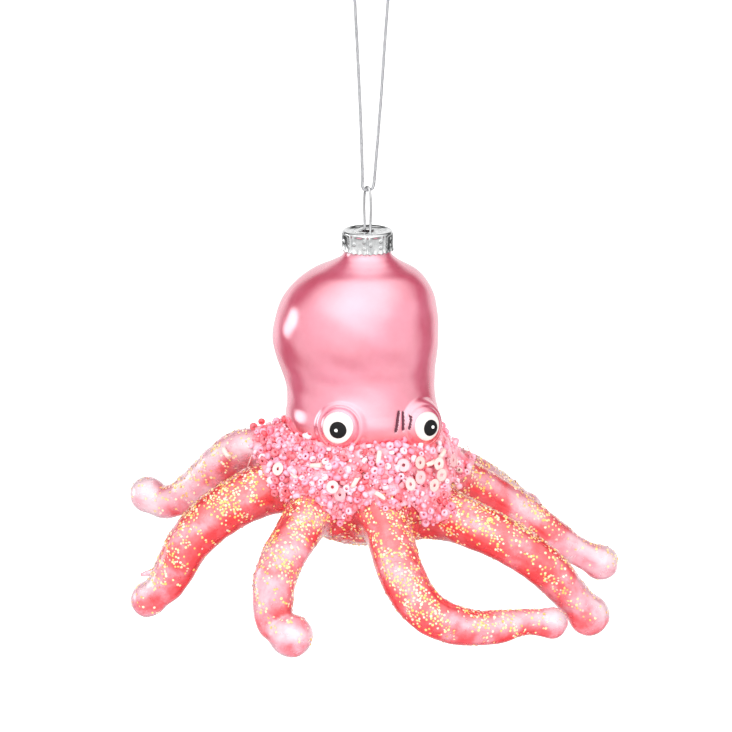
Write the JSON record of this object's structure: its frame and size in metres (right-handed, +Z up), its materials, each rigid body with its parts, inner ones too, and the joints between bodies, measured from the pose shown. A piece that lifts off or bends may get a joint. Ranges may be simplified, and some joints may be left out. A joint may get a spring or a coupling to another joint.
{
  "type": "glass octopus hanging ornament",
  "caption": "Hollow glass octopus ornament with curling arms, beaded collar, metal cap and wire eye, hanging from a knotted metallic cord loop.",
  "frame": {"origin": "top of the cord loop, where a hook or twig carries it; the wire, cap and neck hang on the Z axis below it", "axes": "+Z up, the octopus looks towards -Y, and +X is to the right of someone looking at its face"},
  "size_m": [0.1182, 0.0867, 0.1688],
  "materials": {
    "metallic_cord": "silver metallic yarn, limp",
    "steel_wire": "bright drawn wire",
    "plated_cap": "pressed, bright plated",
    "lacquered_glass": "metallic pink lacquer under a gloss coat",
    "clear_glass": "translucent pink red, gloss, with fine glitter",
    "white_enamel": "gloss enamel",
    "black_enamel": "gloss enamel",
    "clear_glue": "clear glue, tinted by the glass under it",
    "pink_beads": "lustre pink seed beads",
    "red_beads": "clear red seed beads",
    "cream_beads": "pearl cream bugle beads",
    "sequin_film": "iridescent film"
  },
  "bodies": {
    "cord": {"cord_loop": "metallic_cord", "cord_knot": "metallic_cord"},
    "hanger": {"hanger_wire": "steel_wire"},
    "cap": {"cap": "plated_cap"},
    "glass": {"head_shell": "lacquered_glass", "arm_hub": "clear_glass", "arm_front": "clear_glass", "arm_front_right": "clear_glass", "arm_right": "clear_glass", "arm_back_right": "clear_glass", "arm_back_left": "clear_glass", "arm_left_back": "clear_glass", "arm_left": "clear_glass", "arm_front_left": "clear_glass", "eye_white_left": "white_enamel", "eye_white_right": "white_enamel", "eye_pupil_left": "black_enamel", "eye_pupil_right": "black_enamel", "eye_glint_left": "white_enamel", "eye_glint_right": "white_enamel", "glue_collar": "clear_glue", "seed_beads_pink": "pink_beads", "seed_beads_red": "red_beads", "bugle_beads": "cream_beads", "sequins": "sequin_film"}
  },
  "joints": [
    {"name": "ornament_swing", "type": "hinge", "parent": "cord", "child": "hanger", "pos_m": [0, 0, -0.06068], "axis": [0.309, 0.9511, 0], "range_deg": [-75, 75]},
    {"name": "ornament_spin", "type": "hinge", "parent": "hanger", "child": "cap", "pos_m": [0, 0, -0.0717], "axis": [0, 0, 1], "continuous": true},
    {"name": "cap_pull_off", "type": "slide", "parent": "cap", "child": "glass", "axis": [0, 0, -1], "range_m": [0, 0.028]}
  ]
}
